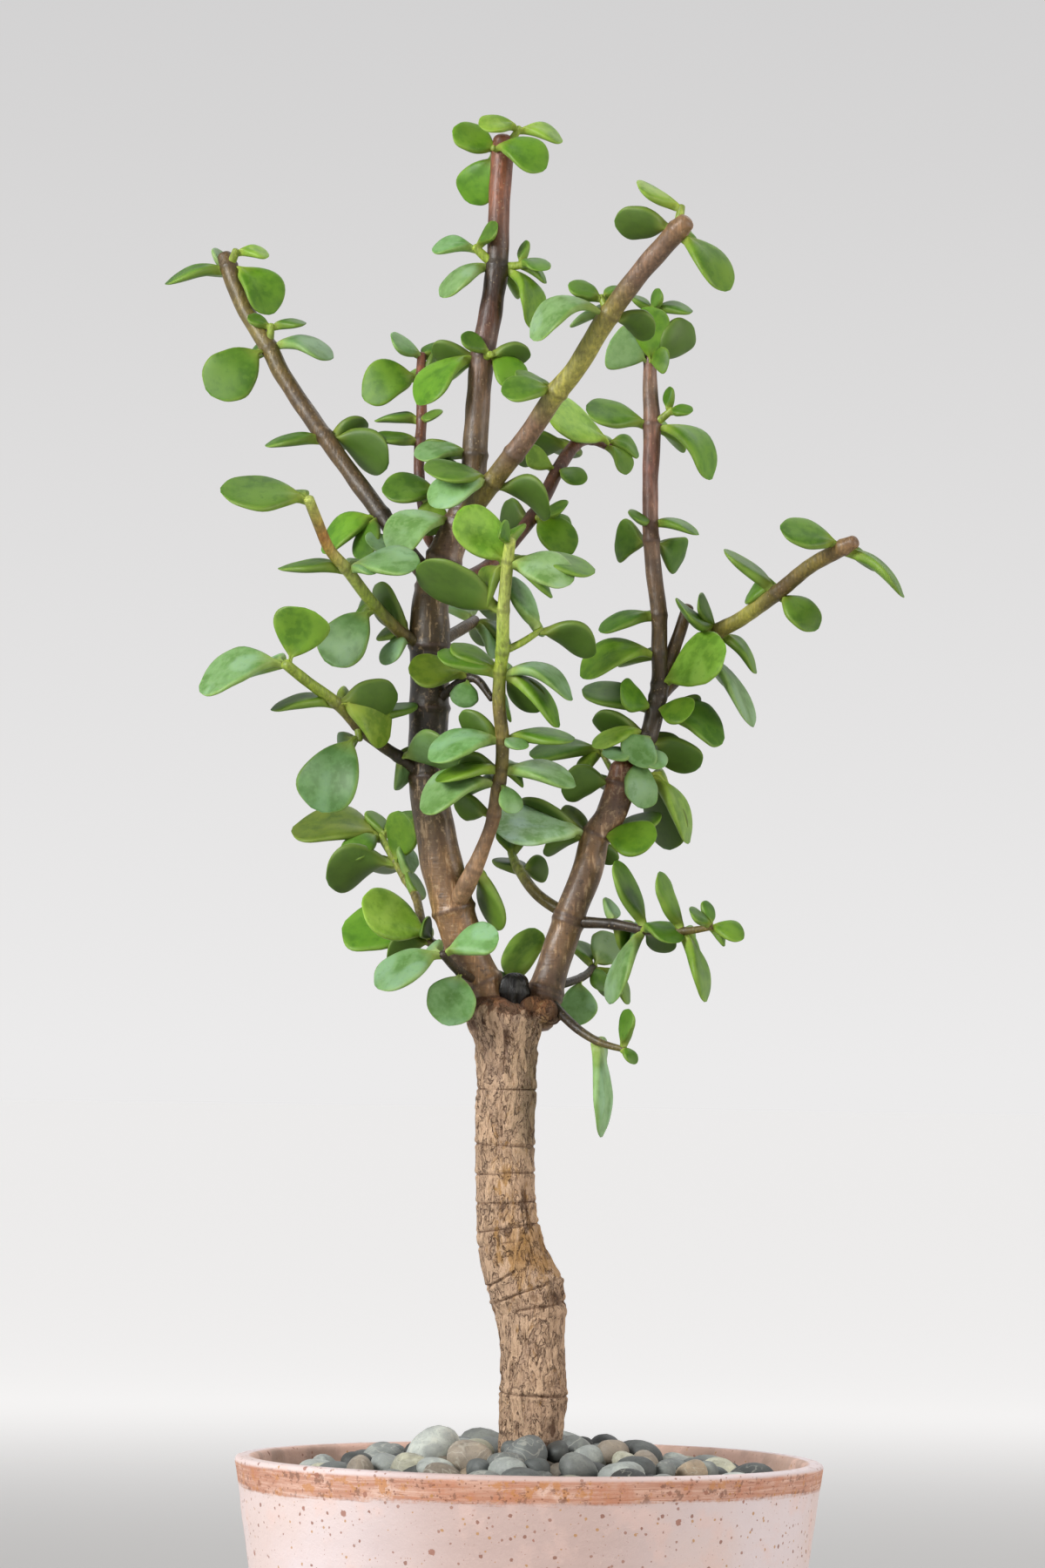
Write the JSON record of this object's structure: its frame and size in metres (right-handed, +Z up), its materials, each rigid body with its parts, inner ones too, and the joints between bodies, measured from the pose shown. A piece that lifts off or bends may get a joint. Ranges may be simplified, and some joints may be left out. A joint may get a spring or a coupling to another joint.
{
  "type": "potted elephant bush",
  "caption": "Potted elephant bush: a ringed trunk forking into limbs with fleshy round leaves on leafy stems, in a speckled clay pot topped with river pebbles.",
  "frame": {"origin": "middle of the pot's flat foot, on the surface that it stands on", "axes": "+Z up along the pot's axis, +X to the viewer's right in the picture, +Y away from the viewer"},
  "size_m": [0.1711, 0.1346, 0.4214],
  "materials": {
    "pot_clay": "unglazed pale clay with brown specks and a rust-washed rim",
    "soil": "dark peaty potting soil",
    "pebbles": "smooth grey-green river pebbles",
    "trunk_bark": "flaky tan bark with ring scars and dark fissures",
    "dead_wood": "black dead wood, slightly glossy",
    "limb_bark": "smooth brown bark with pale streaks",
    "leafy_stem": "fleshy waxy green leaves on red-brown to yellow-green stems"
  },
  "bodies": {
    "root": {"pot": "pot_clay", "soil": "soil", "pebbles": "pebbles", "trunk": "trunk_bark", "dead_stub": "dead_wood", "left_limb": "limb_bark", "right_limb": "limb_bark", "leader": "leafy_stem", "upper_left": "leafy_stem", "left_mid": "leafy_stem", "left_low": "leafy_stem", "left_twig": "leafy_stem", "front_twig": "leafy_stem", "middle_front": "leafy_stem", "thin_upright": "leafy_stem", "upper_right": "leafy_stem", "back_right": "leafy_stem", "inner_upper": "leafy_stem", "inner_lower": "leafy_stem", "right_upright": "leafy_stem", "right_branch": "leafy_stem", "low_right": "leafy_stem", "inner_right": "leafy_stem", "drooping": "leafy_stem", "back_low": "leafy_stem", "fork_twig": "leafy_stem"}
  },
  "joints": []
}
